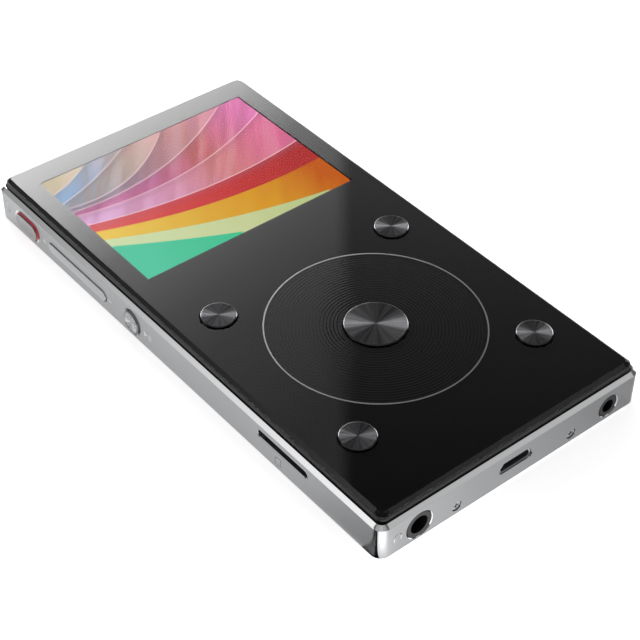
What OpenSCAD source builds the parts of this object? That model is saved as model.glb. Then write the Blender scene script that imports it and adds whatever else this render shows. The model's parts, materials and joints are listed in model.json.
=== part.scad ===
// Pocket digital audio player: aluminium body, bevelled glass front, sprung keys and two headphone sockets.
// The player lies on its back. +X is to the right of the screen, +Y points to the screen end and
// +Z out of the screen. The origin is the centre of the flat back face.

/* [Body] */
// Width of the body, side to side
body_w = 59.2; // [58:0.1:61]
// Length of the body, screen end to socket end
body_l = 114.8; // [113.5:0.1:117]
// Height of the aluminium body at its rim
body_h = 7.4; // [7.3:0.05:7.5]
// Radius of the body's four upright corners
body_r = 2; // [1.8:0.1:2.4]
// Width and depth of the polished chamfer along the rim
rim_chamfer = 0.7; // [0.5:0.05:0.7]
// Thickness of the back
base_t = 1; // [0.8:0.05:1]
// Thickness of the side walls
wall_t = 1.5; // [1.4:0.05:1.6]

/* [Front] */
// Distance from the body's side to the black front frame
front_inset = 0.95; // [0.9:0.05:1.1]
// Distance from the body's side to the edge of the cover glass
glass_inset = 1.15; // [1.1:0.05:1.3]
// Thickness of the cover glass
glass_t = 0.55; // [0.5:0.01:0.6]
// Width of the ground bevel around the glass
bevel_w = 0.68; // [0.4:0.02:0.9]
// Depth of the ground bevel around the glass
bevel_d = 0.48; // [0.3:0.02:0.48]

/* [Display] */
// Width of the picture
picture_w = 47.4; // [46:0.1:48]
// Length of the picture
picture_l = 36.2; // [35:0.1:37]
// Centre of the picture, towards the screen end
picture_y = 32.1; // [31.5:0.1:32.5]

/* [Front keys] */
// Centre of the key group, along the length
pad_y = -21.6; // [-22:0.1:-21]
// Sideways distance from the centre key to the small keys
key_dx = 20.1; // [19.8:0.05:20.3]
// Lengthways distance from the centre key to the small keys
key_dy = 19.05; // [18.8:0.05:19.3]
// Diameter of the small keys
key_d = 6.7; // [6:0.1:6.8]
// Diameter of the centre key
centre_d = 11.6; // [11:0.1:12]
// Height of the key tops above the glass
key_proud = 0.4; // [0.35:0.05:0.5]
// Gap around each front key
key_gap = 0.15; // [0.1:0.01:0.2]
// Radius of the silver ring around the centre key
ring_r = 19.73; // [19:0.05:20]
// Width of the silver ring
ring_w = 0.26; // [0.2:0.02:0.5]

/* [Side keys] */
// Height of the side keys above the back
side_z = 3.4; // [3.35:0.05:3.5]
// Centre of the power key, along the length
power_y = 46.9; // [46:0.1:47.5]
// Length of the power key
power_l = 7.7; // [7:0.1:8]
// Height of the power key
power_h = 3.6; // [3.2:0.1:3.6]
// Centre of the volume rocker, along the length
volume_y = 29.35; // [29:0.05:29.7]
// Length of the volume rocker
volume_l = 19.5; // [18.5:0.1:19.5]
// Height of the volume rocker
volume_h = 2.2; // [2:0.1:2.4]
// Centre of the play key, along the length
play_y = 11.3; // [11:0.1:11.6]
// Diameter of the play key
play_d = 4.6; // [4.2:0.1:4.6]

/* [Sockets] */
// Sideways place of the 3.5 mm headphone socket
phones_x = -21.2; // [-21.4:0.1:-21]
// Sideways place of the 2.5 mm balanced socket
balanced_x = 22; // [21.8:0.1:22.2]
// Diameter of the bore for a 3.5 mm plug
phones_bore = 3.6; // [3.55:0.01:3.62]
// Diameter of the bore for a 2.5 mm plug
balanced_bore = 2.6; // [2.55:0.01:2.62]
// Centre of the memory card slot, along the length
card_y = -32.65; // [-33:0.05:-32.3]
// Sideways distance from the middle to each end screw
screw_x = 13.1; // [13:0.05:13.3]

/* [Hidden] */
$fn = 72;

eps = 0.01;             // how far a cut runs past the face it opens
hw = body_w / 2;
hl = body_l / 2;
wall_x = -hw + wall_t;  // inner face of the left wall
wall_y = -hl + wall_t;  // inner face of the socket end wall
ledge_z = 6.5;          // step in the body's walls that carries the front frame
rebate_inset = 0.75;    // distance from the body's side to the wall above the step
frame_top = 8.45;       // top of the black front frame
mask_top = frame_top + 0.1;
glass_top = mask_top + glass_t;
key_plate_z = 7.35;     // underside of the front frame around the keys
board_z = 5.3;          // underside of the main board
board_top = 6;
module_y = picture_y - 0.8;  // centre of the display module, whose lower border is the wider one
module_w = 52.2;
module_l = 43;
socket_depth = 0.1;     // the socket noses sit this far inside the end face
phones_z = 3.3;
balanced_z = 3.1;
screw_z = 2.05;
card_z = 4.8;
key_places = [[-key_dx, key_dy], [key_dx, key_dy], [-key_dx, -key_dy], [key_dx, -key_dy]];
board_bosses = [[-25.6, -41.2], [25.6, -39], [-25.6, -1], [25.6, -1]];
rocker_pin_x = wall_x + 1.1;
switch_places = [power_y, volume_y + 8, volume_y - 8, play_y];
usb_outline = [[-2.9, 5.2], [-3.75, 4.1], [-3.75, 3.3], [-3.35, 2.9],
    [3.35, 2.9], [3.75, 3.3], [3.75, 4.1], [2.9, 5.2]];

// A rectangle with round corners
module rounded(w, l, r) {
    square([w, l - 2 * r], center = true);
    square([w - 2 * r, l], center = true);
    for (x = [-1, 1], y = [-1, 1]) translate([x * (w / 2 - r), y * (l / 2 - r)]) circle(r);
}

// A flat plate with round corners between two heights
module plate(w, l, r, z0, z1) translate([0, 0, z0]) linear_extrude(z1 - z0) rounded(w, l, r);

// A box given by its two corners
module block(low, high) translate(low) cube(high - low);

// Right half of a slab's section: a chamfer at the foot and a bevel at the top
function foot(a, c) = c > 0 ? [[a - c, 0], [a, c]] : [[a, 0]];
function half_section(a, h, c, w, d) = concat(foot(a, c), [[a, h - d], [a - w, h]]);
function mirrored(p) = [for (i = [len(p) - 1 : -1 : 0]) [-p[i][0], p[i][1]]];

// A slab with round corners, chamfered along its foot and bevelled along its top edge
module slab(w, l, r, h, c, bw, bd) {
    across = half_section(w / 2, h, c, bw, bd);
    along = half_section(l / 2, h, c, bw, bd);
    rotate([90, 0, 0]) linear_extrude(l - 2 * r, center = true) polygon(concat(across, mirrored(across)));
    rotate([90, 0, 90]) linear_extrude(w - 2 * r, center = true) polygon(concat(along, mirrored(along)));
    for (x = [-1, 1], y = [-1, 1]) translate([x * (w / 2 - r), y * (l / 2 - r), 0])
        rotate_extrude() polygon(concat([[0, 0]], half_section(r, h, c, bw, bd), [[0, h]]));
}

// A long hole or key with half-round ends, lying along Y and rising along +X from x0 to x1.
// Its half-height goes from r0 to r1, so that it can flare
module oblong(len, r0, r1, x0, x1, y, z) {
    reach = len / 2 - max(r0, r1);
    for (s = [-1, 1]) translate([x0, y + s * reach, z]) rotate([0, 90, 0]) cylinder(x1 - x0, r0, r1);
    translate([x0, y + reach, z]) rotate([90, 0, 0]) linear_extrude(2 * reach)
        polygon([[0, -r0], [x1 - x0, -r1], [x1 - x0, r1], [0, r0]]);
}

// A round bar along +Y from y0 to y1
module rod_y(r, x, z, y0, y1, r_end = 0)
    translate([x, y0, z]) rotate([-90, 0, 0]) cylinder(y1 - y0, r, r_end > 0 ? r_end : r);

// The flared openings in the left wall
module side_openings() {
    out = -hw - eps;
    inside = wall_x + eps;
    oblong(power_l + 1.1, power_h / 2 + 0.5, power_h / 2 + 0.2, out, -hw + 0.3, power_y, side_z);
    oblong(power_l + 0.24, power_h / 2 + 0.12, power_h / 2 + 0.12, out, inside, power_y, side_z);
    oblong(volume_l + 0.5, volume_h / 2 + 0.25, volume_h / 2 + 0.15, out, -hw + 0.1, volume_y, side_z);
    oblong(volume_l + 0.3, volume_h / 2 + 0.15, volume_h / 2 + 0.15, out, inside, volume_y, side_z);
    translate([out, play_y, side_z]) rotate([0, 90, 0]) {
        cylinder(0.35, play_d / 2 + 0.5, play_d / 2 + 0.2);
        cylinder(wall_t + 2 * eps, r = play_d / 2 + 0.15);
    }
    oblong(13.5, 0.9, 0.75, out, -hw + 0.15, card_y, card_z);
    oblong(13.2, 0.75, 0.75, out, inside, card_y, card_z);
}

// The openings in the socket end: two sockets, the charging port and two countersunk screws
module end_openings() {
    out = -hl - eps;
    inside = wall_y + eps;
    rod_y(2.85, phones_x, phones_z, out, -hl + 0.15, 2.7);
    rod_y(2.7, phones_x, phones_z, out, inside);
    rod_y(2.35, balanced_x, balanced_z, out, -hl + 0.15, 2.2);
    rod_y(2.2, balanced_x, balanced_z, out, inside);
    translate([0, inside, 0]) rotate([90, 0, 0]) linear_extrude(inside - out) polygon(usb_outline);
    for (s = [-1, 1]) {
        rod_y(0.68, s * screw_x, screw_z, out, inside);
        rod_y(1.05, s * screw_x, screw_z, out, -hl + 0.65);
    }
}

// One-piece aluminium body: back, four walls and the posts for the main board
module housing() color("silver") {
    difference() {
        slab(body_w, body_l, body_r, body_h, 0.25, rim_chamfer, rim_chamfer);
        plate(body_w - 2 * wall_t, body_l - 2 * wall_t, 0.8, base_t, ledge_z + eps);
        plate(body_w - 2 * rebate_inset, body_l - 2 * rebate_inset, 1.4, ledge_z, body_h + 1);
        side_openings();
        end_openings();
        for (s = [-1, 1]) block([s * 12 - 4.2, hl - wall_t - eps, 3.9], [s * 12 + 4.2, hl - 0.7, 5.3]);
    }
    for (p = board_bosses) translate([p[0], p[1], base_t]) difference() {
        cylinder(board_z - base_t, r = 1.4);
        translate([0, 0, 1]) cylinder(board_z, r = 0.7);
    }
}

// Round holes for the five front keys
module key_holes(z0, z1) {
    translate([0, pad_y, z0]) cylinder(z1 - z0, d = centre_d + 2 * key_gap);
    for (p = key_places) translate([p[0], pad_y + p[1], z0]) cylinder(z1 - z0, d = key_d + 2 * key_gap);
}

// Black moulded front frame: carries the glass, the display and the keys, and takes the end screws
module front_chassis() color([0.06, 0.06, 0.07]) {
    w = body_w - 2 * front_inset;
    l = body_l - 2 * front_inset;
    window_w = module_w + 0.2;
    window_l = module_l + 0.2;
    key_zone_top = module_y - window_l / 2 - 1.2;
    difference() {
        translate([0, 0, ledge_z]) slab(w, l, 1.5, frame_top - ledge_z, 0, 0.15, 0.4);
        translate([0, module_y, 0]) plate(window_w, window_l, 0.4, ledge_z - eps, frame_top + eps);
        block([-hw + 3.4, -hl + 3.4, ledge_z - eps], [hw - 3.4, key_zone_top, key_plate_z]);
        block([-8.2, key_zone_top - 1, 6.9], [8.2, module_y - window_l / 2 + 1, key_plate_z]);
        key_holes(key_plate_z - 1, frame_top + eps);
    }
    for (s = [-1, 1]) difference() {
        translate([s * screw_x, wall_y, 0]) block([-1.9, 0.1, base_t + 0.1], [1.9, 4, key_plate_z + 0.1]);
        rod_y(0.6, s * screw_x, screw_z, wall_y, wall_y + 3.5);
    }
    for (s = [-1, 1]) {
        block([s * 12 - 4, hl - 2.6, 4.1], [s * 12 + 4, hl - wall_t - 0.1, ledge_z + 0.1]);
        block([s * 12 - 4, hl - wall_t - 0.2, 4.1], [s * 12 + 4, hl - 0.9, 5.1]);
    }
}

// Cover glass with a ground bevel, key holes and the groove for the silver ring
module cover_glass() color([0.1, 0.1, 0.12, 0.5]) difference() {
    translate([0, 0, mask_top])
        slab(body_w - 2 * glass_inset, body_l - 2 * glass_inset, 1.8, glass_t, 0, bevel_w, bevel_d);
    key_holes(mask_top - eps, glass_top + eps);
    translate([0, pad_y, glass_top - 0.06]) ring(ring_r - ring_w / 2, ring_r + ring_w / 2, 0.1);
}

// A flat ring
module ring(r_in, r_out, h) difference() {
    cylinder(h, r = r_out);
    translate([0, 0, -eps]) cylinder(h + 2 * eps, r = r_in);
}

// Black printed layer and adhesive behind the glass, open over the picture and the keys
module print_mask() color([0.02, 0.02, 0.02]) difference() {
    plate(body_w - 2 * glass_inset - 0.1, body_l - 2 * glass_inset - 0.1, 1.75, frame_top, mask_top - 0.01);
    translate([0, picture_y, 0])
        plate(picture_w + 0.6, picture_l + 0.6, 0.2, frame_top - eps, mask_top + eps);
    key_holes(frame_top - eps, mask_top + eps);
}

// Silver ring laid flush into the glass
module ring_inlay() color("lightgray") translate([0, pad_y, glass_top - 0.06])
    ring(ring_r - ring_w / 2, ring_r + ring_w / 2, 0.06);

// Display glass with its raised front polariser
module lcd_panel() color([0.2, 0.25, 0.35]) {
    translate([0, module_y, 0]) plate(module_w - 0.6, module_l - 0.6, 0.3, 7.45, frame_top);
    translate([0, picture_y, 0])
        plate(picture_w + 0.4, picture_l + 0.4, 0.2, frame_top - 0.1, mask_top - 0.01);
}

// Light guide behind the display glass
module lcd_backlight() color("white") translate([0, module_y, 0])
    plate(module_w - 0.6, module_l - 0.6, 0.3, 6.65, 7.45);

// Pressed steel tray around the display, slotted for its flex
module lcd_frame() color("gray") translate([0, module_y, 0]) difference() {
    plate(module_w, module_l, 0.5, ledge_z, 8.2);
    plate(module_w - 0.5, module_l - 0.5, 0.3, 6.65, 8.3);
    block([-8.2, -module_l / 2 - 1, 7], [8.2, -module_l / 2 + 1, 7.3]);
}

// Foam frame between the display tray and the battery
module lcd_cushion() color([0.15, 0.15, 0.15]) translate([1.5, module_y, 0]) difference() {
    plate(46, 38, 1, 5.2, ledge_z);
    plate(40, 32, 1, 5.1, ledge_z + 0.1);
}

// Ribbon from the display to its connector on the main board
module display_flex() color("orange")
    block([-8, 2.6, 7.1], [8, module_y - module_l / 2 + 0.3, 7.2]);

module display_connector() color("ivory") block([-7, 2.8, board_top], [7, 5.4, 7.1]);

// Main circuit board, notched around the front frame's screw posts
module main_board() color("darkgreen") difference() {
    block([-27.5, wall_y + 0.6, board_z], [27.5, 6.5, board_top]);
    for (s = [-1, 1]) block([s * screw_x - 2.3, wall_y, board_z - 1], [s * screw_x + 2.3, wall_y + 4.4, 7]);
    for (p = board_bosses) translate([p[0], p[1], board_z - 1]) cylinder(3, r = 0.75);
}

// A chip or can hanging under the main board
module under_board(x, y, w, l, h) block([x - w / 2, y - l / 2, board_z - h], [x + w / 2, y + l / 2, board_z]);

// A steel can under the main board with 0.2 mm walls
module shield(x, y, w, l, h) difference() {
    under_board(x, y, w, l, h);
    translate([0, 0, 0.01]) under_board(x, y, w - 0.4, l - 0.4, h - 0.19);
}

module processor() color([0.1, 0.1, 0.1]) under_board(2, -11, 11, 11, 1);
module audio_converter() color([0.1, 0.1, 0.1]) under_board(-1.5, -34, 6, 6, 0.9);
module headphone_amplifiers() color([0.1, 0.1, 0.1]) for (y = [-29.5, -38.5]) under_board(7.5, y, 4, 4, 0.8);
module clock_oscillators() color("gainsboro") for (x = [-6, -0.5]) under_board(x, -28, 3.2, 2.5, 0.8);
module processor_shield() color("gainsboro") shield(2, -11, 17, 17, 1.6);
module audio_shield() color("gainsboro") shield(1, -34, 20, 18, 1.5);
module capacitors() color("goldenrod") for (x = [14.5, 18.5], y = [-8, -14, -20, -26])
    under_board(x, y, 2.6, 3.6, 1.8);

// Snap domes under the five front keys
module dome_switches() color("silver") for (p = concat([[0, 0]], key_places))
    translate([p[0], pad_y + p[1], board_top]) cylinder(0.2, 2.1, 1.2);

// A socket moulding: square body, round nose through the end wall and a blind bore for the plug
module socket(x, z, half_w, length, nose_r, bore_r, bore_l) {
    mouth = -hl + socket_depth;
    difference() {
        union() {
            block([x - half_w, wall_y + 0.1, base_t + 0.1], [x + half_w, wall_y + 0.1 + length, board_z]);
            rod_y(nose_r, x, z, mouth, wall_y + 0.2);
        }
        rod_y(bore_r, x, z, mouth - eps, mouth + bore_l);
    }
}

// Soldered tabs along both sides of a socket
module socket_tabs(x, half_w, places) for (s = [-1, 1], y = places)
    translate([x + s * (half_w + 0.1), wall_y + y, board_z]) block([-0.1, 0, -1.2], [0.1, 0.8, 0]);

module headphone_jack() color([0.08, 0.08, 0.08])
    socket(phones_x, phones_z, 3.1, 13, 2.58, phones_bore / 2, 14);
module headphone_contacts() color("gold") socket_tabs(phones_x, 3.1, [2, 5, 8, 11]);
module balanced_jack() color([0.08, 0.08, 0.08])
    socket(balanced_x, balanced_z, 2.6, 11.4, 2.08, balanced_bore / 2, 12);
module balanced_contacts() color("gold") socket_tabs(balanced_x, 2.6, [1.5, 4, 6.5, 9]);

// Charging port: drawn steel shell and the contact tongue inside it
usb_mid = 4.05;
module usb_section(s) translate([0, usb_mid]) scale(s) translate([0, -usb_mid]) polygon(usb_outline);
module usb_tube(s, y0, y1) translate([0, y1, 0]) rotate([90, 0, 0]) linear_extrude(y1 - y0) usb_section(s);

module usb_shell() color("gray") difference() {
    union() {
        usb_tube(0.97, -hl + 0.35, wall_y + 4.2);
        for (s = [-1, 1]) block([s * 2 - 0.5, wall_y + 1, 5.1], [s * 2 + 0.5, wall_y + 3, board_z]);
    }
    usb_tube(0.86, -hl, wall_y + 3.9);
}

module usb_insert() color([0.05, 0.05, 0.05]) {
    usb_tube(0.84, wall_y + 2.9, wall_y + 3.9);
    block([-2.2, -hl + 1, 4.1], [2.2, wall_y + 3, 4.7]);
}

// Memory card socket: moulded floor with side rails, and a steel cover over the card
module card_socket() color([0.08, 0.08, 0.08]) difference() {
    block([wall_x + 0.3, card_y - 6.9, 3.7], [-13, card_y + 6.9, 4.95]);
    block([wall_x, card_y - 5.6, 4.1], [-13.4, card_y + 5.6, 5]);
}

module card_shield() color("silver") block([wall_x + 0.3, card_y - 6.9, 4.95], [-13, card_y + 6.9, board_z]);

// Lithium cell with rounded long edges, its tape, lead and plug
module battery_pack() color([0.55, 0.6, 0.66])
    translate([0, 8.5, 3.2]) rotate([-90, 0, 0]) linear_extrude(45.5)
        translate([2, 0]) rounded(49, 4, 1.6);

module battery_tape() color("yellow") block([-20, 12, base_t], [24, 50, 1.2]);
module battery_lead() color("red") for (x = [11, 12.3]) rod_y(0.45, x, 4.2, 5, 8.5);
module battery_connector() color("ivory") block([9.5, 1.4, 3.5], [13.8, 5, board_z]);

// Upright circuit strip behind the side keys, cut away around the rocker's hinge
module side_key_board() color("darkgreen") difference() {
    block([wall_x + 2.5, 8, 1.2], [wall_x + 3.1, 52, 5.9]);
    block([wall_x + 2, volume_y - 2.2, 1.7], [wall_x + 4, volume_y + 2.2, 5.1]);
}

module side_switches() color("gainsboro") for (y = switch_places) {
    block([wall_x + 1.1, y - 1.8, side_z - 1.4], [wall_x + 2.5, y + 1.8, side_z + 1.4]);
    block([wall_x + 0.8, y - 0.7, side_z - 0.5], [wall_x + 1.1, y + 0.7, side_z + 0.5]);
}

module side_flex() color("orange") block([wall_x + 2.7, 6, 3], [wall_x + 2.8, 8, board_z]);

// Steel bracket behind the strip, with two ears that hold the rocker's pin
module side_bracket() color("gray") difference() {
    union() {
        block([wall_x + 3.1, 9, base_t], [wall_x + 3.5, 51, 5]);
        block([wall_x + 3.1, 9, base_t], [wall_x + 5.3, 51, base_t + 0.2]);
        for (z = [1.8, 4.6]) translate([wall_x, volume_y, z]) block([0.4, -1.8, 0], [3.2, 1.8, 0.4]);
    }
    translate([rocker_pin_x, volume_y, 1]) cylinder(5, r = 0.4);
}

module rocker_pin() color("gray") translate([rocker_pin_x, volume_y, 1.7]) cylinder(3.4, r = 0.4);

// Red body of the power key: the visible side wall and the collar behind the wall
module power_key_body() color([0.72, 0.05, 0.12]) {
    oblong(power_l, power_h / 2, power_h / 2, -hw - 0.25, wall_x + 0.15, power_y, side_z);
    oblong(power_l + 1.4, power_h / 2 + 0.5, power_h / 2 + 0.5, wall_x + 0.12, wall_x + 0.5, power_y, side_z);
}

// Metal face of the power key
module power_key_face() color("silver")
    oblong(power_l - 0.3, power_h / 2 - 0.35, power_h / 2 - 0.15, -hw - 0.45, -hw - 0.25, power_y, side_z);

// Volume rocker: low bar, collar behind the wall and a lug that turns on the pin
module volume_rocker() color("silver") difference() {
    union() {
        oblong(volume_l, volume_h / 2 - 0.15, volume_h / 2, -hw - 0.2, -hw - 0.05, volume_y, side_z);
        oblong(volume_l, volume_h / 2, volume_h / 2, -hw - 0.05, wall_x + 0.4, volume_y, side_z);
        for (s = [-1, 1]) translate([wall_x + 0.27, volume_y + s * 6.3, side_z - 0.2])
            block([0, -4, -1.3], [0.35, 4, 1.25]);
        block([wall_x + 0.27, volume_y - 0.9, 2.3], [rocker_pin_x + 0.85, volume_y + 0.9, 4.45]);
    }
    translate([rocker_pin_x, volume_y, 2]) cylinder(3, r = 0.46);
}

// Play key: a dished round cap with a flat-bottomed collar
module play_key() color("silver") {
    r = play_d / 2;
    translate([-hw - 0.35, play_y, side_z]) rotate([0, 90, 0]) rotate_extrude()
        polygon([[0, 0.18], [r - 0.35, 0.02], [r - 0.2, 0], [r, 0.2], [r, wall_t + 0.6], [0, wall_t + 0.6]]);
    translate([wall_x + 0.12, play_y, side_z]) rotate([0, 90, 0]) intersection() {
        cylinder(0.38, r = r + 0.5);
        translate([-5, -5, 0]) cube([7.2, 10, 1]);
    }
}

// A round front key: chamfered cap, collar under the frame and a nub over its dome
module front_key(d, p) translate([p[0], pad_y + p[1], 0]) {
    r = d / 2;
    top = glass_top + key_proud;
    rotate_extrude() polygon([[0, 6.55], [1, 6.55], [1, 6.75], [r + 0.7, 6.75], [r + 0.7, key_plate_z - 0.1],
        [r, key_plate_z - 0.1], [r, top - 0.22], [r - 0.25, top], [0, top]]);
}

module centre_key() color([0.15, 0.15, 0.16]) front_key(centre_d, [0, 0]);
module upper_left_key() color([0.15, 0.15, 0.16]) front_key(key_d, key_places[0]);
module upper_right_key() color([0.15, 0.15, 0.16]) front_key(key_d, key_places[1]);
module lower_left_key() color([0.15, 0.15, 0.16]) front_key(key_d, key_places[2]);
module lower_right_key() color([0.15, 0.15, 0.16]) front_key(key_d, key_places[3]);

// Two countersunk screws through the end wall into the front frame's posts
module end_screws() color("gray") for (s = [-1, 1]) difference() {
    union() {
        rod_y(0.95, s * screw_x, screw_z, -hl + 0.2, -hl + 0.65);
        rod_y(0.58, s * screw_x, screw_z, -hl + 0.6, wall_y + 3.2);
    }
    for (t = [0, 90]) translate([s * screw_x, -hl + 0.2, screw_z]) rotate([0, t, 0])
        cube([1.1, 0.4, 0.26], center = true);
}

// Four screws that hold the main board on its posts
module board_screws() color("gray") for (p = board_bosses) translate([p[0], p[1], 0]) {
    translate([0, 0, board_top]) difference() {
        cylinder(0.45, r = 1.15);
        for (t = [0, 90]) rotate([0, 0, t]) translate([0, 0, 0.45]) cube([1.4, 0.3, 0.4], center = true);
    }
    translate([0, 0, 2.6]) cylinder(board_top - 2.55, r = 0.68);
}

housing();
front_chassis();
cover_glass();
print_mask();
ring_inlay();
lcd_panel();
lcd_backlight();
lcd_frame();
lcd_cushion();
display_flex();
display_connector();
main_board();
processor();
audio_converter();
headphone_amplifiers();
clock_oscillators();
capacitors();
processor_shield();
audio_shield();
dome_switches();
headphone_jack();
headphone_contacts();
balanced_jack();
balanced_contacts();
usb_shell();
usb_insert();
card_socket();
card_shield();
battery_pack();
battery_tape();
battery_lead();
battery_connector();
side_key_board();
side_switches();
side_flex();
side_bracket();
rocker_pin();
power_key_body();
power_key_face();
volume_rocker();
play_key();
centre_key();
upper_left_key();
upper_right_key();
lower_left_key();
lower_right_key();
end_screws();
board_screws();
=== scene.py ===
"""Looks of a pocket digital audio player: aluminium body, bevelled black glass, spun metal keys, lit display.

Lengths below are in millimetres, in the frame of the CAD part, and are turned into metres as meshes are made.
"""
import json
import math
import bpy
import bmesh
from mathutils import Matrix, Vector


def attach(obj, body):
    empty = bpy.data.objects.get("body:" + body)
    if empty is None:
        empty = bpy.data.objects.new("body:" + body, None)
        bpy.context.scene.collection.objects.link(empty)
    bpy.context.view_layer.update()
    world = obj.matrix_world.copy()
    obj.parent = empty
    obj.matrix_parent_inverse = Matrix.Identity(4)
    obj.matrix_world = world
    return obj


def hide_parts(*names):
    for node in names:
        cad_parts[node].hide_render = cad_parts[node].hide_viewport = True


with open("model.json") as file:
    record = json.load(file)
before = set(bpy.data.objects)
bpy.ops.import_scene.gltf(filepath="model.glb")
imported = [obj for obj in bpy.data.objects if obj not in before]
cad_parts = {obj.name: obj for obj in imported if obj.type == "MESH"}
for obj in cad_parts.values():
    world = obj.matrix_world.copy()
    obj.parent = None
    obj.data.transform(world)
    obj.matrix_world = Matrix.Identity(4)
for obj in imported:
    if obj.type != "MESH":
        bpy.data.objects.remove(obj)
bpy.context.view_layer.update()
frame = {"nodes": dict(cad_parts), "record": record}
MM = 0.001
NODES = frame["nodes"]

# The body's outer faces at the left wall and at the socket end
LEFT_FACE, SOCKET_FACE = -29.6, -57.4

# Front keys: the top of their caps, the middle of the key pad and the pitch of the fine rings around it
KEY_TOP = 9.5
PAD_Y = -21.6
RING_PITCH = 0.62

# Side keys: height of their middle, their places along the wall, and the wall's inner face
SIDE_Z = 3.4
POWER_Y, VOLUME_Y, PLAY_Y = 46.9, 29.35, 11.3
WALL = -28.1

# Lit picture: width, length, middle, and the depths in the glass between which it lies
PICTURE_W, PICTURE_L, PICTURE_Y = 47.4, 36.2, 32.1
PICTURE_Z = (8.6, 8.95)

# ---------------------------------------------------------------- shader helpers


class Shader:
    """A material under construction: node() adds a shader node, whose inputs may be numbers or sockets."""

    def __init__(self, name):
        self.mat = bpy.data.materials.new(name)
        self.mat.use_nodes = True
        self.tree = self.mat.node_tree
        self.tree.nodes.clear()
        coord = self.node("ShaderNodeTexCoord")
        self.mm = self.vec("SCALE", coord.outputs["Object"], scale=1000)
        self.xyz = self.node("ShaderNodeSeparateXYZ", {0: self.mm}).outputs

    def node(self, kind, inputs=None, **settings):
        n = self.tree.nodes.new(kind)
        for key, value in settings.items():
            setattr(n, key, value)
        for key, value in (inputs or {}).items():
            if isinstance(value, bpy.types.NodeSocket):
                self.tree.links.new(value, n.inputs[key])
            else:
                n.inputs[key].default_value = value
        return n

    def math(self, operation, a, b=0.0, c=0.0, clamp=False):
        n = self.node("ShaderNodeMath", {0: a, 1: b, 2: c}, operation=operation)
        n.use_clamp = clamp
        return n.outputs[0]

    def vec(self, operation, a, b=(0, 0, 0), scale=1.0):
        n = self.node("ShaderNodeVectorMath", {0: a, 1: b, 3: scale}, operation=operation)
        return n.outputs["Value" if operation in ("LENGTH", "DOT_PRODUCT") else "Vector"]

    def step(self, value, edge, width):
        """0 below the edge and 1 above it, over the given width."""
        n = self.node("ShaderNodeMapRange", {0: value, 1: edge - width / 2, 2: edge + width / 2,
                                             3: 0.0, 4: 1.0})
        n.interpolation_type = "SMOOTHSTEP"
        return n.outputs[0]

    def between(self, value, low, high, width=0.01):
        return self.math("MULTIPLY", self.step(value, low, width),
                         self.math("SUBTRACT", 1.0, self.step(value, high, width)))

    def mix(self, fac, a, b):
        n = self.node("ShaderNodeMix", {0: fac}, data_type="RGBA")
        for socket, value in ((n.inputs[6], a), (n.inputs[7], b)):
            if isinstance(value, bpy.types.NodeSocket):
                self.tree.links.new(value, socket)
            else:
                socket.default_value = (*value, 1)
        return n.outputs[2]

    def blend(self, fac, a, b):
        """A number between a and b."""
        return self.node("ShaderNodeMix", {0: fac, 2: a, 3: b}, data_type="FLOAT").outputs[0]

    def noise(self, scale, detail=3.0, rough=0.6, vector=None, stretch=None):
        """Noise centred on 0.5; scale is in cycles per millimetre."""
        v = vector or self.mm
        if stretch:
            v = self.vec("MULTIPLY", v, stretch)
        return self.node("ShaderNodeTexNoise", {"Vector": v, "Scale": scale, "Detail": detail,
                                                "Roughness": rough}).outputs[0]

    def bump(self, height, distance, strength=1.0, normal=None):
        inputs = {"Height": height, "Distance": distance * MM, "Strength": strength}
        if normal is not None:
            inputs["Normal"] = normal
        return self.node("ShaderNodeBump", inputs).outputs[0]

    def surface(self, shader):
        out = self.node("ShaderNodeOutputMaterial")
        self.tree.links.new(shader, out.inputs[0])
        return self.mat

    def principled(self, **inputs):
        n = self.node("ShaderNodeBsdfPrincipled")
        for key, value in inputs.items():
            socket = n.inputs[key.replace("_", " ")]
            if isinstance(value, bpy.types.NodeSocket):
                self.tree.links.new(value, socket)
            elif isinstance(value, tuple) and len(value) == 3 and socket.type == "RGBA":
                socket.default_value = (*value, 1)
            else:
                socket.default_value = value
        return n.outputs[0]


def finish(name, colour, rough, metallic=0.0, grain=4.0, tint=0.08, spread=0.08, depth=0.004,
           blotch=0.12, stretch=None, wear=0.0, **extra):
    """A solid finish with fine grain, slow blotches and a little bump."""
    s = Shader(name)
    fine = s.noise(grain, 4.0, 0.65, stretch=stretch)
    slow = s.noise(blotch, 3.0, 0.55)
    dark = tuple(c * (1 - tint) for c in colour)
    light = tuple(min(1.0, c * (1 + tint) + 0.004) for c in colour)
    shade = s.mix(s.blend(0.5, fine, slow), dark, light)
    if wear:
        spots = s.step(s.noise(grain * 0.5, 6.0, 0.8), 0.72, 0.1)
        shade = s.mix(s.math("MULTIPLY", spots, wear), shade, tuple(min(1.0, c * 1.6 + 0.05) for c in colour))
    roughness = s.blend(slow, s.blend(fine, rough - spread, rough), s.blend(fine, rough, rough + spread))
    return s.surface(s.principled(Base_Color=shade, Metallic=metallic, Roughness=roughness,
                                  Normal=s.bump(fine, depth), **extra))


# ---------------------------------------------------------------- mesh helpers

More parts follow.
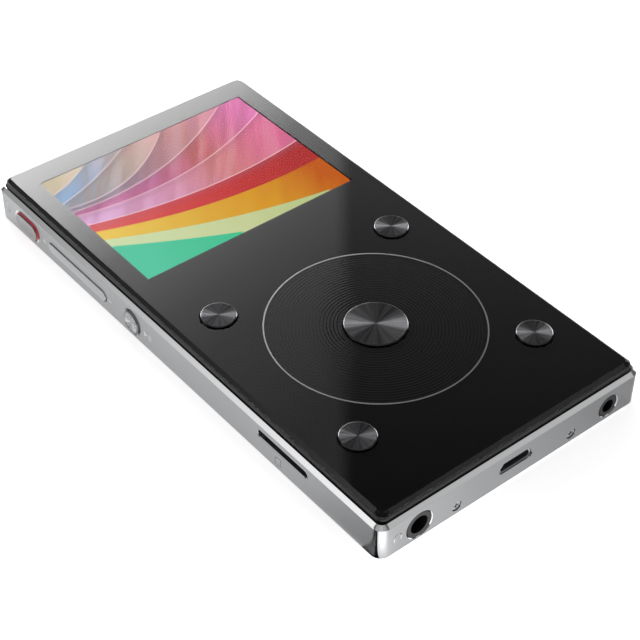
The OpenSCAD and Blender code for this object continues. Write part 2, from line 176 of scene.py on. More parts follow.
def piece(name, verts, faces, material, body, replaces=(), origin=(0, 0, 0), sharp=35):
    """A mesh from points in millimetres, shaded smooth except at edges sharper than the given angle."""
    o = Vector(origin)
    mesh = bpy.data.meshes.new(name)
    mesh.from_pydata([(Vector(v) - o) * MM for v in verts], [], faces)
    bm = bmesh.new()
    bm.from_mesh(mesh)
    bmesh.ops.remove_doubles(bm, verts=bm.verts, dist=1e-7)
    bmesh.ops.recalc_face_normals(bm, faces=bm.faces)
    for f in bm.faces:
        f.smooth = True
    for e in bm.edges:
        if len(e.link_faces) == 2:
            e.smooth = e.calc_face_angle(0) < math.radians(sharp)
    bm.to_mesh(mesh)
    bm.free()
    obj = bpy.data.objects.new(name, mesh)
    obj.location = o * MM
    bpy.context.scene.collection.objects.link(obj)
    mesh.materials.append(material)
    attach(obj, body)
    if replaces:
        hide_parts(*replaces)
    return obj


def skin(loops, close=True):
    """Points and faces of a surface through loops of equally many points, with a cap at each end."""
    n = len(loops[0])
    verts = [p for loop in loops for p in loop]
    faces = []
    for k in range(len(loops) - 1):
        for i in range(n):
            j = (i + 1) % n
            faces.append((k * n + i, k * n + j, (k + 1) * n + j, (k + 1) * n + i))
    if close:
        faces.append(tuple(range(n))[::-1])
        faces.append(tuple((len(loops) - 1) * n + i for i in range(n)))
    return verts, faces


def box_solid(x0, y0, z0, x1, y1, z1):
    """Points and faces of a box between two corners."""
    return skin([[(x0, y0, z), (x1, y0, z), (x1, y1, z), (x0, y1, z)] for z in (z0, z1)])


def join(solids):
    """Points and faces of several solids as one mesh."""
    verts, faces = [], []
    for more_verts, more_faces in solids:
        base = len(verts)
        verts.extend(more_verts)
        faces.extend(tuple(base + i for i in f) for f in more_faces)
    return verts, faces


def rounding(r, steps=4):
    """Pairs (inset, drop) round a quarter circle from the side to the top."""
    return [(r * (1 - math.cos(a)), r * (1 - math.sin(a)))
            for a in (math.pi / 2 * k / steps for k in range(steps + 1))]


def lathe(profile, centre, axis="Z", segments=96):
    """A turned solid: profile holds pairs (radius, place along the axis), the first and last on the axis."""
    cx, cy, cz = centre
    verts, faces = [], []
    rings = []
    for r, h in profile:
        count = 1 if r < 1e-6 else segments
        ring = []
        for i in range(count):
            a = 2 * math.pi * i / segments
            u, v = r * math.cos(a), r * math.sin(a)
            if axis == "Z":
                p = (cx + u, cy + v, cz + h)
            elif axis == "X":
                p = (cx + h, cy + u, cz + v)
            else:
                p = (cx + u, cy + h, cz + v)
            ring.append(len(verts))
            verts.append(p)
        rings.append(ring)
    for a, b in zip(rings, rings[1:]):
        if len(a) == 1 and len(b) == 1:
            continue
        for i in range(segments):
            j = (i + 1) % segments
            if len(a) == 1:
                faces.append((a[0], b[j], b[i]))
            elif len(b) == 1:
                faces.append((a[i], a[j], b[0]))
            else:
                faces.append((a[i], a[j], b[j], b[i]))
    return verts, faces


def stadium(length, r, x, y, z, steps=16):
    """A loop with half-round ends in the plane of the left wall, lying along Y."""
    reach = length / 2 - r
    loop = []
    for side in (1, -1):
        for k in range(steps + 1):
            a = math.pi * k / steps - math.pi / 2 + (0 if side > 0 else math.pi)
            loop.append((x, y + side * reach + r * math.cos(a), z + r * math.sin(a)))
    return loop


def ribbon(points, width, closed=False):
    """The outline of a flat line of even width through 2-D points, as (left side, right side)."""
    left, right = [], []
    n = len(points)
    for i, p in enumerate(points):
        a = points[i - 1] if (i or closed) else p
        b = points[(i + 1) % n] if (i < n - 1 or closed) else p
        d1, d2 = Vector(p) - Vector(a), Vector(b) - Vector(p)
        d = sum((v.normalized() for v in (d1, d2) if v.length), Vector((0, 0)))
        d.normalize()
        normal = Vector((-d.y, d.x))
        ref = d1 if d1.length else d2
        stretch = 1 / max(0.4, abs(d.dot(ref.normalized())))
        left.append(Vector(p) + normal * width / 2 * stretch)
        right.append(Vector(p) - normal * width / 2 * stretch)
    return left, right


def arc(cx, cy, r, start, stop, steps=24):
    """Points of a circle's arc between two angles in degrees."""
    return [(cx + r * math.cos(math.radians(start + (stop - start) * k / steps)),
             cy + r * math.sin(math.radians(start + (stop - start) * k / steps))) for k in range(steps + 1)]


class Print:
    """Signs printed on a flat face: thin closed solids, most of whose depth (mm) lies inside the face."""
    DEPTHS = (0.03, -0.002)

    def __init__(self, place):
        self.place, self.verts, self.faces = place, [], []

    def add(self, outline):
        """A filled convex outline."""
        n, base = len(outline), len(self.verts)
        for depth in self.DEPTHS:
            self.verts += [self.place(p[0], p[1], depth) for p in outline]
        self.faces.append(tuple(base + i for i in range(n)))
        self.faces.append(tuple(base + n + i for i in range(n))[::-1])
        self.faces += [(base + i, base + (i + 1) % n, base + n + (i + 1) % n, base + n + i) for i in range(n)]

    def line(self, points, width, closed=False):
        left, right = ribbon(points, width, closed)
        n = len(points)
        for i in range(n if closed else n - 1):
            j = (i + 1) % n
            self.add([left[i], left[j], right[j], right[i]])

    def make(self, name, material):
        return piece(name, self.verts, self.faces, material, "player")


# ---------------------------------------------------------------- finishes

def aluminium():
    """Bead-blasted aluminium whose rim chamfer, corners and opening edges are polished."""
    rim_z, bottom_z = 6.705, 0.5
    left_deep, end_deep = 0.3, 0.5       # how deep the openings' edges are polished
    left_reach, end_reach = 54.5, 26.5   # how far from the middle of their wall they lie
    corner_x, corner_y = 28.2, 56.0
    power_y = 40.5                       # the power key's flare, above here, is polished more
    s = Shader("aluminium_body")
    x, y, z = s.xyz
    away_x, away_y = s.math("ABSOLUTE", x), s.math("ABSOLUTE", y)
    rim = s.step(z, rim_z, 0.01)
    left = s.math("MULTIPLY", s.between(x, LEFT_FACE + 0.01, LEFT_FACE + left_deep),
                  s.math("LESS_THAN", away_y, left_reach))
    left = s.math("MULTIPLY", left, s.step(z, bottom_z, 0.1))
    left = s.math("MULTIPLY", left, s.blend(s.step(y, power_y, 0.1), 0.25, 0.8))
    end = s.math("MULTIPLY", s.between(y, SOCKET_FACE + 0.01, SOCKET_FACE + end_deep),
                 s.math("LESS_THAN", away_x, end_reach))
    corner = s.math("MULTIPLY", s.step(away_x, corner_x, 1.0), s.step(away_y, corner_y, 1.0))
    polished = s.math("MAXIMUM", rim, s.math("MAXIMUM", left, end), clamp=True)
    blast = s.noise(9.0, 2.0, 0.7)
    cloud = s.noise(0.09, 4.0, 0.6)
    smear = s.noise(0.5, 5.0, 0.7, stretch=(1, 0.25, 1))
    base = s.mix(s.blend(0.5, cloud, blast), (0.305, 0.309, 0.317), (0.365, 0.369, 0.377))
    base = s.mix(s.math("MULTIPLY", s.step(smear, 0.62, 0.2), 0.12), base, (0.34, 0.34, 0.35))
    base = s.mix(polished, base, (0.86, 0.865, 0.875))
    rough = s.blend(cloud, s.blend(smear, 0.26, 0.32), s.blend(blast, 0.31, 0.37))
    rough = s.blend(corner, rough, 0.12)
    rough = s.blend(polished, rough, s.blend(smear, 0.05, 0.11))
    return s.surface(s.principled(Base_Color=base, Metallic=1.0, Roughness=rough,
                                  Normal=s.bump(blast, 0.003)))


def spun_top(name, colour, rough, axis, edge_r, lighter, painted_ray_contrast=0.5):
    """Metal turned on a lathe: fine grooves round the piece's own middle fan its gloss out in rays, and the
    base colour adds painted rays of highlight and shade.
    """
    s = Shader(name)
    a, b = {"Z": (0, 1), "X": (1, 2)}[axis]
    radius = s.math("SQRT", s.math("ADD", s.math("POWER", s.xyz[a], 2), s.math("POWER", s.xyz[b], 2)))
    angle = s.math("ARCTAN2", s.xyz[b], s.xyz[a])
    ray = s.node("ShaderNodeCombineXYZ", {0: s.math("MULTIPLY", s.math("SINE", angle), 3.0),
                                          1: s.math("MULTIPLY", s.math("COSINE", angle), 3.0),
                                          2: s.math("MULTIPLY", radius, 0.02)}).outputs[0]
    painted_rays = s.noise(1.3, 3.0, 0.75, vector=ray)
    turning = s.noise(14.0, 2.0, 0.6, vector=s.node("ShaderNodeCombineXYZ", {0: radius}).outputs[0])
    top = s.math("LESS_THAN", radius, edge_r)
    # Painted highlight and shade: the base colour runs lighter and darker in rays round the middle
    shade = s.mix(s.step(painted_rays, 0.5, 0.3), tuple(c * (1 - painted_ray_contrast) for c in colour),
                  tuple(c * (1 + painted_ray_contrast) for c in colour))
    shade = s.mix(s.math("MULTIPLY", turning, 0.35), shade, tuple(c * 0.6 for c in colour))
    shade = s.mix(top, lighter, shade)
    roughness = s.blend(top, 0.12, s.blend(turning, rough - 0.05, rough + 0.07))
    tangent = s.node("ShaderNodeTangent", direction_type="RADIAL", axis=axis).outputs[0]
    return s.surface(s.principled(Base_Color=shade, Metallic=1.0, Roughness=roughness, Anisotropic=0.95,
                                  Anisotropic_Rotation=0.25, Tangent=tangent,
                                  Normal=s.bump(turning, 0.004)))


def pad_rings(s):
    """The distance from the middle of the key pad, and a wave that rises and falls along it."""
    flat = s.vec("MULTIPLY", s.vec("SUBTRACT", s.mm, (0, PAD_Y, 0)), (1, 1, 0))
    radius = s.vec("LENGTH", flat)
    return radius, s.math("SINE", s.math("MULTIPLY", radius, 2 * math.pi / RING_PITCH))


def glass():
    """Clear cover glass with fine rings round the centre key and a film against glare over the display."""
    s = Shader("cover_glass")
    facing = s.math("SUBTRACT", 1.0, s.node("ShaderNodeNewGeometry").outputs["Backfacing"])
    radius, ring = pad_rings(s)
    zone = s.math("MULTIPLY", s.between(radius, 6.6, 19.4, 0.5), 0.5)
    smear = s.noise(0.16, 5.0, 0.7)
    true_normal = s.node("ShaderNodeNewGeometry").outputs["True Normal"]
    normal = s.bump(s.math("MULTIPLY", ring, zone), 0.003, normal=true_normal)
    fresnel = s.node("ShaderNodeFresnel", {"IOR": 1.6, "Normal": normal}).outputs[0]
    window = s.math("MULTIPLY", s.between(s.xyz[0], -24.0, 23.9, 0.05), s.between(s.xyz[1], 13.5, 50.2, 0.05))
    window = s.math("MULTIPLY", window, s.step(s.xyz[2], 9.05, 0.02))
    facing = s.math("MULTIPLY", facing, s.blend(window, 1.0, 0.1))
    rough = s.blend(smear, 0.012, 0.024)
    gloss = s.node("ShaderNodeBsdfGlossy", {"Roughness": rough, "Normal": normal}).outputs[0]
    clear = s.node("ShaderNodeBsdfTransparent", {0: (0.97, 0.975, 0.98, 1)}).outputs[0]
    mix = s.node("ShaderNodeMixShader", {0: s.math("MULTIPLY", fresnel, facing), 1: clear, 2: gloss})
    return s.surface(mix.outputs[0])


def picture(left, bottom):
    """The lit picture: a fan of bent colour bands, each above its curve y = a + b x + c x^2 (mm)."""
    s = Shader("screen_picture")
    x = s.math("SUBTRACT", s.xyz[0], left)
    y = s.math("SUBTRACT", s.xyz[1], bottom)
    across = s.math("SUBTRACT", s.math("MULTIPLY", x, 0.26), s.math("MULTIPLY", y, 0.20))
    along = s.math("ADD", s.math("MULTIPLY", x, 0.02), s.math("MULTIPLY", y, 0.03))
    pleats = s.noise(1.0, 2.0, 0.5, vector=s.node("ShaderNodeCombineXYZ", {0: across, 1: along}).outputs[0])
    sway = s.math("MULTIPLY", s.math("SUBTRACT", pleats, 0.5), 0.25)
    t = s.math("ADD", s.math("DIVIDE", x, PICTURE_W), sway)

    def colours(*stops):
        ramp = s.node("ShaderNodeValToRGB", {0: t})
        elements = ramp.color_ramp.elements
        while len(elements) < len(stops):
            elements.new(0.5)
        for k, (e, stop) in enumerate(zip(elements, stops)):
            e.position = 0.05 + 0.9 * k / (len(stops) - 1)
            e.color = (*stop, 1)
        return ramp.outputs[0]

    shade = colours((0.10, 0.55, 0.35), (0.05, 0.50, 0.25), (0.05, 0.45, 0.2))
    bands = [  # a, b, c, how strongly it is pleated, and its colours from left to right
        (11.5, -0.60, 0.003, 0.0, (0.60, 0.70, 0.40), (0.55, 0.60, 0.30), (0.40, 0.50, 0.20)),
        (14.0, -0.50, 0.004, 0.0,
         (0.80, 0.55, 0.10), (0.70, 0.40, 0.05), (0.65, 0.30, 0.02), (0.50, 0.10, 0.01)),
        (17.0, -0.40, 0.005, 0.0,
         (0.70, 0.12, 0.12), (0.60, 0.06, 0.06), (0.50, 0.04, 0.04), (0.40, 0.03, 0.03)),
        (19.5, -0.30, 0.005, 0.2,
         (0.70, 0.40, 0.65), (0.65, 0.30, 0.45), (0.60, 0.20, 0.20), (0.70, 0.15, 0.30)),
        (23.0, -0.25, 0.008, 0.3,
         (0.60, 0.20, 0.40), (0.50, 0.15, 0.30), (0.55, 0.15, 0.15), (0.75, 0.20, 0.45)),
        (24.5, -0.15, 0.010, 0.3,
         (0.35, 0.30, 0.40), (0.35, 0.20, 0.25), (0.55, 0.25, 0.25), (0.80, 0.30, 0.45)),
        (26.0, -0.25, 0.022, 0.4,
         (0.30, 0.35, 0.40), (0.45, 0.35, 0.30), (0.80, 0.40, 0.40), (0.80, 0.30, 0.45)),
        (28.0, 0.25, 0.010, 0.4, (0.25, 0.40, 0.60), (0.60, 0.45, 0.40), (0.80, 0.55, 0.60)),
        (31.5, 0.25, 0.024, 0.3, (0.60, 0.50, 0.35), (0.80, 0.75, 0.55), (0.80, 0.70, 0.60)),
    ]
    for a, b, c, pleat, *tones in bands:
        curve = s.math("ADD", a, s.math("MULTIPLY", x, s.math("ADD", b, s.math("MULTIPLY", x, c))))
        above = s.math("SUBTRACT", y, curve)
        if pleat:
            under = s.math("MULTIPLY", s.between(above, -1.2, 0.0, 1.8), 0.22)
            shade = s.mix(under, shade, tuple(0.35 * v for v in tones[0]))
        tone = colours(*tones)
        if pleat:
            dark = s.math("MULTIPLY", s.step(pleats, 0.54, 0.16), pleat)
            tone = s.mix(dark, tone, tuple(0.45 * v for v in tones[-2]))
            lit = s.math("MULTIPLY", s.math("SUBTRACT", 1.0, s.step(pleats, 0.42, 0.16)), pleat * 0.5)
            tone = s.mix(lit, tone, (0.90, 0.62, 0.66))
        shade = s.mix(s.step(above, 0.0, 0.14), shade, tone)
        if pleat:
            glint = s.math("MULTIPLY", s.between(above, 0.02, 0.3, 0.2), 0.5)
            shade = s.mix(glint, shade, (0.95, 0.72, 0.76))
    return s.surface(s.principled(Base_Color=(0.0, 0.0, 0.0), Specular_IOR_Level=0.0, Roughness=0.6,
                                  Emission_Color=shade, Emission_Strength=1.04))


def black_print():
    """Black print behind the glass, with fine paler rings round the centre key."""
    s = Shader("black_print")
    radius, wave = pad_rings(s)
    lines = s.math("MULTIPLY", s.step(wave, 0.55, 0.6), s.between(radius, 6.8, 19.2, 0.6))
    fine = s.noise(0.6, 3.0, 0.6)
    shade = s.mix(fine, (0.0032, 0.0032, 0.0034), (0.004, 0.004, 0.0043))
    shade = s.mix(s.math("MULTIPLY", lines, 0.45), shade, (0.022, 0.022, 0.023))
    return s.surface(s.principled(Base_Color=shade, Roughness=s.blend(fine, 0.6, 0.8),
                                  Specular_IOR_Level=0.0))


MATERIALS = {
    "aluminium_body": aluminium(),
    "cover_glass": glass(),
    "black_moulding": finish("black_moulding", (0.010, 0.010, 0.011), 0.3, grain=6, depth=0.0008,
                             spread=0.02, Specular_IOR_Level=0.3),
    "black_print": black_print(),
    "polished_metal": finish("polished_metal", (0.62, 0.625, 0.635), 0.2, 1.0, grain=5, depth=0.001,
                             spread=0.05, stretch=(1, 0.1, 1)),
    "display": finish("display", (0.03, 0.035, 0.04), 0.15, grain=2, depth=0.0003),
    "white_film": finish("white_film", (0.75, 0.76, 0.76), 0.6, grain=3),
    "pressed_steel": finish("pressed_steel", (0.5, 0.5, 0.51), 0.34, 1.0, grain=2.5, depth=0.003,
                            stretch=(0.15, 1, 1)),
    "foam": finish("foam", (0.02, 0.02, 0.021), 0.95, grain=6, depth=0.05),
    "flex": finish("flex", (0.42, 0.16, 0.02), 0.35, grain=1.2, tint=0.25),
    "ivory_plastic": finish("ivory_plastic", (0.7, 0.66, 0.52), 0.5, grain=3),
    "circuit_board": finish("circuit_board", (0.01, 0.09, 0.045), 0.35, grain=1.5, tint=0.35, depth=0.01),
    "chip": finish("chip", (0.02, 0.02, 0.022), 0.55, grain=8, depth=0.006),
    "capacitor": finish("capacitor", (0.5, 0.27, 0.05), 0.45, grain=4),
    "gold_contact": finish("gold_contact", (0.83, 0.55, 0.16), 0.22, 1.0, grain=5, depth=0.001),
    "battery_foil": finish("battery_foil", (0.5, 0.52, 0.55), 0.42, 0.8, grain=1.4, depth=0.02, tint=0.12),
    "tape": finish("tape", (0.62, 0.52, 0.16), 0.5, grain=2),
    "lead": finish("lead", (0.45, 0.01, 0.01), 0.5, grain=3),
    "red_key": finish("red_key", (0.50, 0.008, 0.025), 0.26, 0.35, grain=6, depth=0.001, Coat_Weight=0.5),
    "dark_metal": finish("dark_metal", (0.07, 0.07, 0.075), 0.3, 1.0, grain=5, depth=0.002),
    "satin_key": finish("satin_key", (0.40, 0.404, 0.412), 0.26, 1.0, grain=7, depth=0.003, spread=0.05),
    "key_face": finish("key_face", (0.24, 0.242, 0.248), 0.2, 1.0, grain=7, depth=0.002, spread=0.04),
    "ring_line": finish("ring_line", (0.22, 0.22, 0.23), 0.3, 1.0, grain=5, depth=0.001),
    "screw": finish("screw", (0.42, 0.42, 0.43), 0.28, 1.0, grain=6, depth=0.003, wear=0.3),
}
for entry in frame["record"]["subparts"]:
    mesh = NODES[entry["node"]].data
    mesh.materials.clear()
    mesh.materials.append(MATERIALS[entry["material_slot"]])

NODES["ring_inlay"].data.materials[0] = MATERIALS["ring_line"]

# ---------------------------------------------------------------- front keys

def key_profile(r, pitch, groove):
    """Section of a front key from its nub and its collar to the middle of its grooved top."""
    collar = r + 0.7
    out = [(0, 6.55), (0.9, 6.55), (1.0, 6.6), (1.0, 6.75), (collar - 0.08, 6.75), (collar, 6.83),
           (collar, 7.25), (r, 7.25), (r, KEY_TOP - 0.28)]
    out += [(r - inset, KEY_TOP - drop) for inset, drop in rounding(0.26, 5)][1:]
    for k in range(int((r - 0.4) / pitch)):
        rr = r - 0.36 - k * pitch
        out.append((rr, KEY_TOP - 0.01))
        out.append((rr - pitch * 0.5, KEY_TOP - 0.01 - groove))
    out.append((0, KEY_TOP - 0.02))
    return out


# Keys on the pad, by name: how far right and up of its middle they are, and their radius
LARGE_R, SMALL_R = 5.8, 3.35
RIGHT, UP = 20.1, 19.05
KEYS = {"centre_key": (0, 0, LARGE_R),
        "upper_left_key": (-RIGHT, UP, SMALL_R), "upper_right_key": (RIGHT, UP, SMALL_R),
        "lower_left_key": (-RIGHT, -UP, SMALL_R), "lower_right_key": (RIGHT, -UP, SMALL_R)}
DARK_SPUN, DARK_EDGE = (0.032, 0.032, 0.034), (0.06, 0.06, 0.062)
# For each radius: the spun metal, the pitch of its grooves and the steps round its edge
KEY_KINDS = {LARGE_R: (spun_top("spun_dark_large", DARK_SPUN, 0.42, "Z", 5.52, DARK_EDGE, 0.6), 0.3, 128),
             SMALL_R: (spun_top("spun_dark_small", DARK_SPUN, 0.42, "Z", 3.07, DARK_EDGE, 0.6), 0.24, 96)}
GROOVE = 0.012
for name, (kx, ky, kr) in KEYS.items():
    metal, pitch, segments = KEY_KINDS[kr]
    verts, faces = lathe(key_profile(kr, pitch, GROOVE), (kx, PAD_Y + ky, 0), segments=segments)
    piece(name + "_cap", verts, faces, metal, name, (name,), origin=(kx, PAD_Y + ky, 8))

# ---------------------------------------------------------------- side keys

# Power key: red body with a soft edge, and a metal face with a shallow hollow
body_loops = [stadium(9.1, 2.3, x, POWER_Y, SIDE_Z) for x in (WALL + 0.5, WALL + 0.14)]
body_loops += [stadium(7.7, 1.8, x, POWER_Y, SIDE_Z) for x in (WALL + 0.14, -29.73)]
body_loops += [stadium(7.7 - 2 * i, 1.8 - i, -29.85 + d, POWER_Y, SIDE_Z) for i, d in rounding(0.12, 4)][1:]
verts, faces = skin(body_loops)
piece("power_key_red_body", verts, faces, MATERIALS["red_key"], "power_key", ("power_key_body",))
face_loops = [stadium(7.34, 1.62, -29.84, POWER_Y, SIDE_Z), stadium(7.34, 1.62, -29.95, POWER_Y, SIDE_Z)]
face_loops += [stadium(7.34 - 2 * i, 1.62 - i, -30.05 + d, POWER_Y, SIDE_Z) for i, d in rounding(0.1, 4)][1:]
face_loops += [stadium(6.7, 1.3, -30.045, POWER_Y, SIDE_Z), stadium(6.1, 1.0, -29.99, POWER_Y, SIDE_Z),
               stadium(4.6, 0.25, -29.97, POWER_Y, SIDE_Z)]
verts, faces = skin(face_loops)
piece("power_key_metal_face", verts, faces, MATERIALS["key_face"], "power_key", ("power_key_face",))

# Volume rocker: a satin bar with a soft edge, its two stops behind the wall and the lug that turns on the pin
bar = [stadium(19.5, 1.1, x, VOLUME_Y, SIDE_Z) for x in (WALL + 0.4, -29.65)]
bar += [stadium(19.5 - 2 * i, 1.1 - i, -29.8 + d, VOLUME_Y, SIDE_Z) for i, d in rounding(0.15, 5)][1:]
PIN_X = WALL + 1.1
stops = [box_solid(WALL + 0.27, low, 1.9, WALL + 0.62, low + 8, 4.45)
         for low in (VOLUME_Y - 10.3, VOLUME_Y + 2.3)]
lug = box_solid(WALL + 0.27, VOLUME_Y - 0.6, 2.32, PIN_X - 0.5, VOLUME_Y + 0.6, 4.43)
TUBE_SIDES = 32
tube_section = [(0.46, 2.3), (0.85, 2.3), (0.85, 4.45), (0.46, 4.45), (0.46, 2.3)]
turns = [2 * math.pi * k / TUBE_SIDES for k in range(TUBE_SIDES)]
tube = skin([[(PIN_X + r * math.cos(a), VOLUME_Y + r * math.sin(a), z) for a in turns]
             for r, z in tube_section], close=False)
verts, faces = join([skin(bar), *stops, lug, tube])
piece("volume_rocker_bar", verts, faces, MATERIALS["satin_key"], "volume_rocker", ("volume_rocker",))

# Play key: dished, spun face with a rounded edge, and a collar behind the wall that is flat underneath
PLAY_R = 2.3
profile = [(0, 2.35), (PLAY_R + 0.5, 2.35), (PLAY_R + 0.5, 1.97), (PLAY_R, 1.97), (PLAY_R, 0.2)]
profile += [(PLAY_R - i, 0.01 + d) for i, d in rounding(0.18, 5)][1:]
profile += [(PLAY_R - 0.3, 0.03)]
for k in range(9):
    rr = PLAY_R - 0.34 - k * 0.2
    dish = 0.03 + 0.17 * (1 - (rr / PLAY_R) ** 2)
    profile += [(rr, dish), (rr - 0.1, dish + 0.02)]
profile += [(0, 0.2)]
verts, faces = lathe(profile, (-29.95, PLAY_Y, SIDE_Z), "X", 72)
verts = [(x, y, max(z, SIDE_Z - PLAY_R - 0.02)) for x, y, z in verts]
silver = spun_top("spun_silver", (0.42, 0.42, 0.43), 0.2, "X", 1.98, (0.2, 0.2, 0.205), 0.8)
piece("play_key_cap", verts, faces, silver, "play_key", ("play_key",),
      origin=(-29.5, PLAY_Y, SIDE_Z))

# ---------------------------------------------------------------- display

left, bottom = -PICTURE_W / 2, PICTURE_Y - PICTURE_L / 2
verts, faces = box_solid(left, bottom, PICTURE_Z[0], -left, bottom + PICTURE_L, PICTURE_Z[1])
piece("lit_picture", verts, faces, picture(left, bottom), "player")

# ---------------------------------------------------------------- printed signs

ink = finish("sign_ink", (0.8, 0.8, 0.8), 0.55, grain=5, tint=0.05, depth=0.0005)


def on_left(u, v, depth):
    """u runs towards the socket end and v up, on the left side."""
    return (LEFT_FACE + depth, -u, v)


def on_end(u, v, depth):
    """u runs to the right and v up, on the socket end."""
    return (u, SOCKET_FACE + depth, v)


signs = Print(on_left)
signs.line(arc(-54.1, 3.6, 0.8, 125, 415), 0.16)
signs.line([(-54.1, 3.6), (-54.1, 4.7)], 0.16)
signs.line([(-41.3, 3.5), (-40.1, 3.5)], 0.18)
signs.line([(-40.7, 2.9), (-40.7, 4.1)], 0.18)
signs.line([(-18.95, 3.5), (-17.85, 3.5)], 0.18)
signs.add([(-7.4, 2.75), (-6.3, 3.4), (-7.4, 4.05)])
for u in (-5.9, -5.4):
    signs.line([(u, 2.75), (u, 4.05)], 0.22)
signs.line([(30.75, 1.2), (32.25, 1.2), (32.25, 2.9), (31.2, 2.9), (30.75, 2.45)], 0.12, closed=True)
for u in (31.3, 31.6, 31.9):
    signs.line([(u, 2.25), (u, 2.65)], 0.1)
signs.make("left_side_signs", ink)

phones = Print(on_end)
phones.line(arc(-25.8, 3.6, 0.75, 0, 180), 0.14)
for u in (-25.8 - 0.72, -25.8 + 0.72):
    phones.line([(u, 3.6), (u, 2.8)], 0.3)
phones.make("headphone_sign", ink)

# ---------------------------------------------------------------- floor, light and camera


def stage_sheet(name, centre, right, up, w, h, material):
    """A flat sheet that belongs to the stage; its own axes run along right and up."""
    right, up = Vector(right).normalized(), Vector(up).normalized()
    mesh = bpy.data.meshes.new(name)
    mesh.from_pydata([(-w / 2, -h / 2, 0), (w / 2, -h / 2, 0), (w / 2, h / 2, 0), (-w / 2, h / 2, 0)], [],
                     [(0, 1, 2, 3)])
    mesh.materials.append(material)
    obj = bpy.data.objects.new(name, mesh)
    m = Matrix((right, up, right.cross(up))).transposed().to_4x4()
    m.translation = Vector(centre)
    obj.matrix_world = m
    bpy.context.scene.collection.objects.link(obj)
    return obj


FLOOR_MIDDLE = Vector((3, -1, -0.00003))
FLOOR_SIZE = 40


def floor_material():
    """Pale paper, partly lit from behind, with painted pools of light beside the polished corner of the body.
    """
    s = Shader("floor_paper")
    paper = s.noise(0.8, 4.0, 0.6)
    shade = s.mix(paper, (0.90, 0.90, 0.90), (0.925, 0.925, 0.925))
    glow_of = 0.80
    # Painted light: round pools of extra glow on the floor, for the polished corner to reflect
    for px, py, reach, more in ((-31.5, -62, 4.0, 3.5), (-20, -66, 12, 0.45)):
        pool_at = (px - FLOOR_MIDDLE.x / MM, py - FLOOR_MIDDLE.y / MM, 0)
        away = s.vec("LENGTH", s.vec("MULTIPLY", s.vec("SUBTRACT", s.mm, pool_at), (1, 1, 0)))
        painted_pool = s.math("EXPONENT", s.math("MULTIPLY", s.math("POWER", s.math("DIVIDE", away, reach), 2), -1))
        glow_of = s.math("ADD", glow_of, s.math("MULTIPLY", painted_pool, more))
    card = s.principled(Base_Color=shade, Roughness=0.9, Specular_IOR_Level=0.1, Normal=s.bump(paper, 0.01),
                        Emission_Color=shade, Emission_Strength=glow_of)
    clear = s.node("ShaderNodeBsdfTransparent").outputs[0]
    back = s.node("ShaderNodeNewGeometry").outputs["Backfacing"]
    return s.surface(s.node("ShaderNodeMixShader", {0: back, 1: card, 2: clear}).outputs[0])


stage_sheet("floor", FLOOR_MIDDLE, (1, 0, 0), (0, 1, 0), FLOOR_SIZE, FLOOR_SIZE, floor_material())


def flag(name, x, y, turn, w, h, low, high, most):
    """A dark sheet on the floor that only gloss sees, which paints shade into what the body reflects; it
    thickens along its own X from low to high (mm).
    """
    s = Shader(name)
    reflected_shade = s.principled(Base_Color=(0.01, 0.01, 0.01), Roughness=0.9, Specular_IOR_Level=0.0)
    clear = s.node("ShaderNodeBsdfTransparent").outputs[0]
    cover = s.math("MULTIPLY", s.step(s.xyz[0], (low + high) / 2, high - low), most)
    material = s.surface(s.node("ShaderNodeMixShader", {0: cover, 1: clear, 2: reflected_shade}).outputs[0])
    right = Vector((math.cos(math.radians(turn)), math.sin(math.radians(turn)), 0))
    sheet = stage_sheet(name, (x * MM, y * MM, 0.00006), right, Vector((-right.y, right.x, 0)),
                        w * MM, h * MM, material)
    sheet.visible_camera = sheet.visible_shadow = sheet.visible_diffuse = False


# Painted shade in the reflections of the body's corner, socket end and left side
flag("corner_flag", -35.2, -56.0, 10, 12, 4.0, -100, -50, 1.0)
flag("end_flag", 14, -66, 0, 66, 17, -20, 32, 0.6)
flag("side_flag", -35.5, -41, -90, 30, 11, -10, 16, 0.5)


def glow_card(strength_of, name):
    """A card that glows by strength_of(shader)."""
    s = Shader(name)
    return s.surface(s.node("ShaderNodeEmission", {"Strength": strength_of(s)}).outputs[0])


# The camera: its direction from the part (degrees, azimuth from -Y towards +X), its roll and its place (m)
AZIMUTH, ELEVATION, ROLL = (math.radians(v) for v in (-39.355, 41.601, 0.449))
CAM_AT = Vector((-0.14501, -0.182984, 0.202573))
CAM_Z = Vector((math.sin(AZIMUTH) * math.cos(ELEVATION), -math.cos(AZIMUTH) * math.cos(ELEVATION),
                math.sin(ELEVATION)))
level = Vector((math.cos(AZIMUTH), math.sin(AZIMUTH), 0))
CAM_X = level * math.cos(ROLL) + CAM_Z.cross(level) * math.sin(ROLL)
CAM_Y = CAM_Z.cross(CAM_X)
cam_data = bpy.data.cameras.new("camera")
cam_data.lens, cam_data.sensor_width = 93.30, 36
cam_data.clip_start, cam_data.clip_end = 0.01, 50
camera = bpy.data.objects.new("camera", cam_data)
camera.matrix_world = Matrix.Translation(CAM_AT) @ Matrix((CAM_X, CAM_Y, CAM_Z)).transposed().to_4x4()
bpy.context.scene.collection.objects.link(camera)
bpy.context.scene.camera = camera


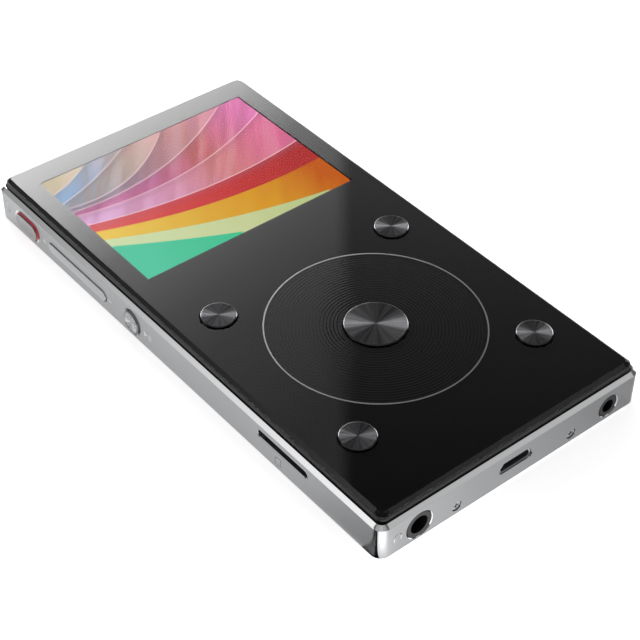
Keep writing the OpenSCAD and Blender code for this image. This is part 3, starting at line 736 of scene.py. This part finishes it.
def gradient_strength(s):
    """Brightest at the card's upper left, with a soft upright edge right of its middle."""
    x, y = s.xyz[0], s.xyz[1]
    start, reach = -236.1, 314.8   # the slope from bright to dark, in mm across the card
    along = s.math("SUBTRACT", s.math("MULTIPLY", x, 0.6), s.math("MULTIPLY", y, 0.8))
    ramp = s.node("ShaderNodeValToRGB", {0: s.math("DIVIDE", s.math("SUBTRACT", along, start), reach)})
    stops = [(-223.5, .58), (-197, .46), (-171.5, .36), (-156, .28), (-136, .205), (-116.5, .135),
             (-85, .095), (-56.5, .066), (-14, .043), (41, .032), (78.5, .024)]
    elements = ramp.color_ramp.elements
    while len(elements) < len(stops):
        elements.new(0.5)
    for e, (at, value) in zip(elements, stops):
        e.position = (at - start) / reach
        e.color = (value, value, value, 1)
    left = s.math("MULTIPLY", ramp.outputs[0], 1.25)
    right = s.math("MULTIPLY", 0.037, s.math("EXPONENT", s.math("DIVIDE", s.math("SUBTRACT", y, 100), 134)))
    leaning = s.math("ADD", x, s.math("MULTIPLY", y, 0.01))
    return s.math("MULTIPLY", s.blend(s.step(leaning, 22.2, 17.3), left, right), 14.0)


up_mirrored = Vector((CAM_Y.x, CAM_Y.y, -CAM_Y.z))
card_at = Vector((-CAM_Z.x, -CAM_Z.y, CAM_Z.z))
sheet = stage_sheet("gradient_card", card_at, CAM_X, up_mirrored, 0.9, 0.9,
                    glow_card(gradient_strength, "gradient_card"))
sheet.visible_camera = False

# Name, place, width, height, strength, and the share of the strength at the softbox's left edge
for name, place, w, h, strength, share in (
        ("left_softbox", (-0.95, 0.75, 0.65), 0.9, 0.8, 1.0, 0.35),
        ("front_left_softbox", (-1.05, -0.2, 1.05), 0.75, 0.5, 0.4, 1.0),
        ("front_softbox", (-0.68, -0.78, 1.05), 0.75, 0.5, 0.5, 1.0),
        ("front_right_softbox", (-0.05, -1.05, 1.05), 0.75, 0.5, 0.4, 1.0),
        ("right_softbox", (0.75, -1.0, 0.85), 0.7, 0.7, 0.5, 1.0),
        ("edge_softbox", (1.3, 0.2, 0.2), 0.5, 0.35, 1.5, 1.0)):
    at = Vector(place)
    right = Vector((0, 0, 1)).cross(at).normalized()
    soft = stage_sheet(name, at, right, (-at).normalized().cross(right) * -1, w, h,
                       glow_card(lambda s, v=strength, low=share:
                                 s.blend(s.step(s.xyz[0], -60, 480), v * low, v), name))
    soft.visible_camera = False


def area(name, place, size, power):
    """A square lamp that points at the part."""
    data = bpy.data.lights.new(name, "AREA")
    data.size, data.energy = size, power
    obj = bpy.data.objects.new(name, data)
    obj.location = place
    obj.rotation_mode = "QUATERNION"
    obj.rotation_quaternion = Vector(place).to_track_quat("Z", "Y")
    bpy.context.scene.collection.objects.link(obj)
    return obj


area("key_light", (0.15, 0.1, 1.5), 1.2, 2.5)

# Three small lamps rake over the spun keys and light nothing else
raked = bpy.data.collections.new("raked_keys")
for name in KEYS:
    raked.objects.link(bpy.data.objects[name + "_cap"])
for name, place, size, power in (("rake_back", (0.104, 0.685, 0.40), 0.24, 4.0),
                                 ("rake_right", (0.648, 0.244, 0.40), 0.24, 4.0),
                                 ("rake_edge", (1.3, 0.2, 0.2), 0.37, 3.8)):
    lamp = area(name, place, size, power)
    lamp.light_linking.receiver_collection = raked

world = bpy.data.worlds.new("studio")
world.use_nodes = True
world.node_tree.nodes["Background"].inputs[0].default_value = (1, 1, 1, 1)
world.node_tree.nodes["Background"].inputs[1].default_value = 0.12
bpy.context.scene.world = world
bpy.context.scene.view_settings.view_transform = "Standard"
